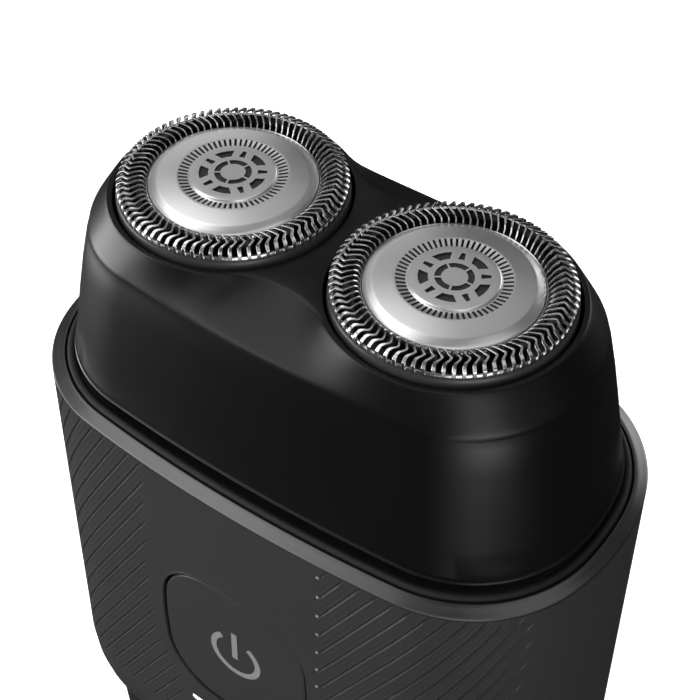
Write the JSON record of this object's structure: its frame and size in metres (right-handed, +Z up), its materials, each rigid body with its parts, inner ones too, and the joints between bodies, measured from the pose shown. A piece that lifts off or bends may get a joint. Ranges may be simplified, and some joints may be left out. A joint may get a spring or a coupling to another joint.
{
  "type": "rotary electric shaver",
  "caption": "Compact rotary electric shaver with round floating shaving heads on a lift-off shaving unit, a ribbed oval handle with a front power button, and a charging socket in its base.",
  "frame": {"origin": "centre of the bottom face, where the shaver stands", "axes": "+Z up along the handle, +X from the left head to the right head, the power button faces -Y"},
  "size_m": [0.07, 0.0412, 0.1022],
  "materials": {
    "sleeve_plastic": "fine satin, moulded",
    "rim_metal": "satin dark grey coat",
    "housing_plastic": "semi-gloss black",
    "black_rubber": "matte",
    "inner_plastic": "as moulded, light grey",
    "dark_plastic": "as moulded, dark",
    "gear_plastic": "as moulded, natural acetal",
    "steel": "ground",
    "cap_steel": "bright, finely ground",
    "disc_metal": "satin",
    "motor_steel": "zinc plated",
    "cell_wrap": "shrink wrap",
    "nickel": "nickel strip",
    "board_laminate": "solder mask",
    "chip_black": "moulded",
    "light_lens": "clear white",
    "button_plastic": "satin",
    "socket_steel": "drawn shell",
    "brass_pinion": "machined"
  },
  "bodies": {
    "handle": {"body_sleeve": "sleeve_plastic", "rim_trim": "rim_metal", "top_deck": "dark_plastic", "deck_seal": "black_rubber", "inner_chassis": "inner_plastic", "deck_screws": "steel", "motor_can": "motor_steel", "motor_end_cap": "dark_plastic", "gear_axles": "steel", "battery_cell": "cell_wrap", "battery_tabs": "nickel", "circuit_board": "board_laminate", "board_components": "chip_black", "tact_switch": "chip_black", "light_lenses": "light_lens", "light_guide": "light_lens", "button_membrane": "black_rubber", "bottom_cap": "dark_plastic", "bottom_screws": "steel", "charging_socket": "socket_steel", "socket_tongue": "dark_plastic", "socket_board": "board_laminate", "left_shaft_seal": "black_rubber", "right_shaft_seal": "black_rubber"},
    "motor_rotor": {"motor_shaft": "steel", "motor_armature": "motor_steel", "motor_pinion": "brass_pinion"},
    "power_key": {"power_button": "button_plastic"},
    "shaving_unit": {"head_housing": "housing_plastic", "retaining_frame": "inner_plastic", "left_float_spring": "steel", "right_float_spring": "steel"},
    "lock_knob": {"retainer_lock": "inner_plastic"},
    "left_gear": {"left_drive_gear": "gear_plastic"},
    "left_spindle": {"left_drive_spindle": "gear_plastic", "left_spindle_spring": "steel"},
    "left_float": {"left_seat_ring": "inner_plastic"},
    "left_head": {"left_head_carrier": "dark_plastic", "left_head_cap": "cap_steel", "left_cap_disc": "disc_metal"},
    "left_cutter": {"left_head_cutter": "steel", "left_cutter_coupling": "gear_plastic"},
    "right_gear": {"right_drive_gear": "gear_plastic"},
    "right_spindle": {"right_drive_spindle": "gear_plastic", "right_spindle_spring": "steel"},
    "right_float": {"right_seat_ring": "inner_plastic"},
    "right_head": {"right_head_carrier": "dark_plastic", "right_head_cap": "cap_steel", "right_cap_disc": "disc_metal"},
    "right_cutter": {"right_head_cutter": "steel", "right_cutter_coupling": "gear_plastic"}
  },
  "joints": [
    {"name": "motor_spin", "type": "hinge", "parent": "handle", "child": "motor_rotor", "pos_m": [0, 0, 0.0704], "axis": [0, 0, 1], "continuous": true},
    {"name": "power_press", "type": "slide", "parent": "handle", "child": "power_key", "axis": [0, 1, 0], "range_m": [0, 0.0004], "stiffness_N_per_m": 900, "springref_m": -0.0006},
    {"name": "unit_lift", "type": "slide", "parent": "handle", "child": "shaving_unit", "axis": [0, 0, 1], "range_m": [0, 0.03]},
    {"name": "lock_turn", "type": "hinge", "parent": "shaving_unit", "child": "lock_knob", "pos_m": [0, 0, 0.0882], "axis": [0, 0, 1], "range_deg": [0, 90]},
    {"name": "left_gear_spin", "type": "hinge", "parent": "handle", "child": "left_gear", "pos_m": [-0.013, 0, 0.0704], "axis": [0, 0, 1], "continuous": true},
    {"name": "left_spindle_slide", "type": "slide", "parent": "left_gear", "child": "left_spindle", "axis": [0, 0, 1], "range_m": [-0.0012, 0], "deforming": ["left_spindle_spring"]},
    {"name": "left_head_float", "type": "slide", "parent": "shaving_unit", "child": "left_float", "axis": [0, 0, 1], "range_m": [-0.0012, 0], "stiffness_N_per_m": 600, "springref_m": 0.001, "deforming": ["left_float_spring"]},
    {"name": "left_head_tilt", "type": "hinge", "parent": "left_float", "child": "left_head", "pos_m": [-0.013, 0, 0.0938], "axis": [0, 1, 0], "range_deg": [-2.5, 2.5], "stiffness_Nm_per_rad": 0.05},
    {"name": "left_cutter_spin", "type": "hinge", "parent": "left_head", "child": "left_cutter", "pos_m": [-0.013, 0, 0.0985], "axis": [0, 0, 1], "continuous": true},
    {"name": "right_gear_spin", "type": "hinge", "parent": "handle", "child": "right_gear", "pos_m": [0.013, 0, 0.0704], "axis": [0, 0, 1], "continuous": true},
    {"name": "right_spindle_slide", "type": "slide", "parent": "right_gear", "child": "right_spindle", "axis": [0, 0, 1], "range_m": [-0.0012, 0], "deforming": ["right_spindle_spring"]},
    {"name": "right_head_float", "type": "slide", "parent": "shaving_unit", "child": "right_float", "axis": [0, 0, 1], "range_m": [-0.0012, 0], "stiffness_N_per_m": 600, "springref_m": 0.001, "deforming": ["right_float_spring"]},
    {"name": "right_head_tilt", "type": "hinge", "parent": "right_float", "child": "right_head", "pos_m": [0.013, 0, 0.0938], "axis": [0, 1, 0], "range_deg": [-2.5, 2.5], "stiffness_Nm_per_rad": 0.05},
    {"name": "right_cutter_spin", "type": "hinge", "parent": "right_head", "child": "right_cutter", "pos_m": [0.013, 0, 0.0985], "axis": [0, 0, 1], "continuous": true}
  ],
  "couplings": [
    {"joint": "left_gear_spin", "follows": "motor_spin", "ratio": -0.44444},
    {"joint": "left_cutter_spin", "follows": "motor_spin", "ratio": -0.44444},
    {"joint": "left_spindle_slide", "follows": "left_head_float", "ratio": 1},
    {"joint": "right_gear_spin", "follows": "motor_spin", "ratio": -0.44444},
    {"joint": "right_cutter_spin", "follows": "motor_spin", "ratio": -0.44444},
    {"joint": "right_spindle_slide", "follows": "right_head_float", "ratio": 1}
  ]
}
